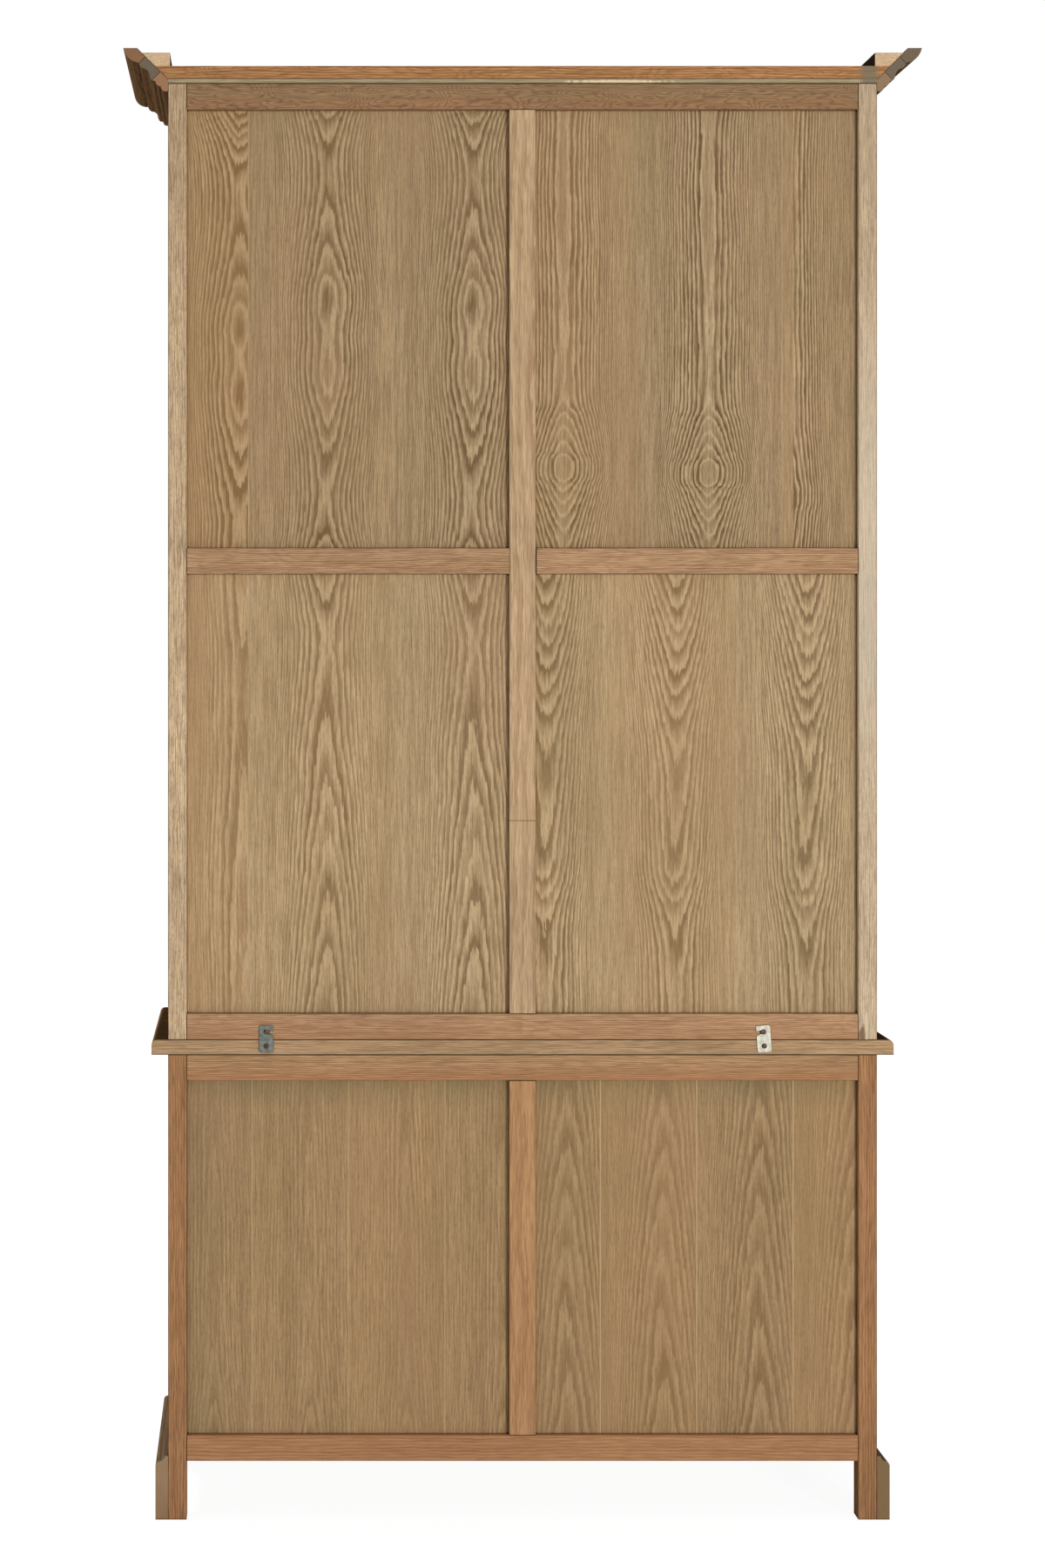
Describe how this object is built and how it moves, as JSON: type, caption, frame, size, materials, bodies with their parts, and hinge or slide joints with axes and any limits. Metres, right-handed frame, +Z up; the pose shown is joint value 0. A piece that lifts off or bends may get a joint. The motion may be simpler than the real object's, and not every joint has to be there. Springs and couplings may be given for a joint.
{
  "type": "tall two-part cupboard",
  "caption": "Tall two-part oak cupboard: a base with drawers over doors, a taller upper case with doors and shelves, a moulded crown and a plinth with bracket feet.",
  "frame": {"origin": "bottom centre of the bounding box, on the floor", "axes": "+Z up, the doors and drawers face -Y, the plain back faces +Y, +X is the right side as seen from the front"},
  "size_m": [1.2, 0.4538, 2.21],
  "materials": {
    "back_oak": "stained oak with visible grain, matt",
    "outer_oak": "stained oak with visible grain, satin",
    "veneer": "grey-brown oak veneer, matt",
    "crown_board_wood": "red-brown oak, matt",
    "plywood": "raw plywood edge",
    "raw_wood": "raw pale wood",
    "inner_wood": "planed wood, matt",
    "brass": "aged brass, satin",
    "dark_steel": "dark steel, satin",
    "zinc_steel": "zinc-plated steel, satin",
    "screw_steel": "plated steel, satin",
    "catch_plastic": "brown plastic, matt"
  },
  "bodies": {
    "case": {"upper_back_posts": "back_oak", "upper_front_posts": "outer_oak", "upper_back_rails": "back_oak", "upper_back_stile": "back_oak", "upper_back_low_panels": "veneer", "upper_back_high_panels": "veneer", "upper_side_rails": "outer_oak", "upper_side_panels": "outer_oak", "upper_front_rails": "outer_oak", "upper_bottom_board": "inner_wood", "upper_fixed_shelf": "inner_wood", "loose_shelves": "inner_wood", "shelf_cleats": "inner_wood", "top_panel": "plywood", "crown_board": "crown_board_wood", "crown_returns": "outer_oak", "crown_front": "outer_oak", "crown_strips": "raw_wood", "waist_board": "outer_oak", "base_back_posts": "back_oak", "base_front_posts": "outer_oak", "base_back_rails": "back_oak", "base_back_stile": "back_oak", "base_back_panels": "veneer", "base_side_rails": "outer_oak", "base_side_panels": "outer_oak", "base_front_rails": "outer_oak", "drawer_divider": "outer_oak", "base_bottom_board": "inner_wood", "drawer_runners": "inner_wood", "plinth_returns": "outer_oak", "plinth_front": "outer_oak", "post_hinge_leaves": "brass", "hinge_pins": "brass", "door_catches": "catch_plastic", "hook_screws": "screw_steel"},
    "right_hook": {"right_hook_plate": "dark_steel"},
    "left_hook": {"left_hook_plate": "zinc_steel"},
    "upper_right_door": {"upper_right_door_frame": "outer_oak", "upper_right_door_panels": "outer_oak", "upper_right_door_knob": "brass", "upper_right_door_hinge_leaves": "brass"},
    "upper_left_door": {"upper_left_door_frame": "outer_oak", "upper_left_door_panels": "outer_oak", "upper_left_door_knob": "brass", "upper_left_door_hinge_leaves": "brass"},
    "base_right_door": {"base_right_door_frame": "outer_oak", "base_right_door_panels": "outer_oak", "base_right_door_knob": "brass", "base_right_door_hinge_leaves": "brass"},
    "base_left_door": {"base_left_door_frame": "outer_oak", "base_left_door_panels": "outer_oak", "base_left_door_knob": "brass", "base_left_door_hinge_leaves": "brass"},
    "right_drawer": {"right_drawer_front": "outer_oak", "right_drawer_box": "inner_wood", "right_drawer_knob": "brass"},
    "left_drawer": {"left_drawer_front": "outer_oak", "left_drawer_box": "inner_wood", "left_drawer_knob": "brass"}
  },
  "joints": [
    {"name": "upper_right_door_swing", "type": "hinge", "parent": "case", "child": "upper_right_door", "pos_m": [0.5035, -0.1632, 1.43875], "axis": [0, 0, 1], "range_deg": [0, 110]},
    {"name": "upper_left_door_swing", "type": "hinge", "parent": "case", "child": "upper_left_door", "pos_m": [-0.5035, -0.1632, 1.43875], "axis": [0, 0, -1], "range_deg": [0, 110]},
    {"name": "base_right_door_swing", "type": "hinge", "parent": "case", "child": "base_right_door", "pos_m": [0.5035, -0.2057, 0.322], "axis": [0, 0, 1], "range_deg": [0, 110]},
    {"name": "base_left_door_swing", "type": "hinge", "parent": "case", "child": "base_left_door", "pos_m": [-0.5035, -0.2057, 0.322], "axis": [0, 0, -1], "range_deg": [0, 110]},
    {"name": "right_drawer_slide", "type": "slide", "parent": "case", "child": "right_drawer", "axis": [0, -1, 0], "range_m": [0, 0.28]},
    {"name": "left_drawer_slide", "type": "slide", "parent": "case", "child": "left_drawer", "axis": [0, -1, 0], "range_m": [0, 0.28]},
    {"name": "right_hook_swing", "type": "hinge", "parent": "case", "child": "right_hook", "pos_m": [0.385, 0.2241, 0.7116], "axis": [0, 1, 0], "range_deg": [0, 90]},
    {"name": "left_hook_swing", "type": "hinge", "parent": "case", "child": "left_hook", "pos_m": [-0.363, 0.2241, 0.7116], "axis": [0, -1, 0], "range_deg": [0, 90]}
  ]
}
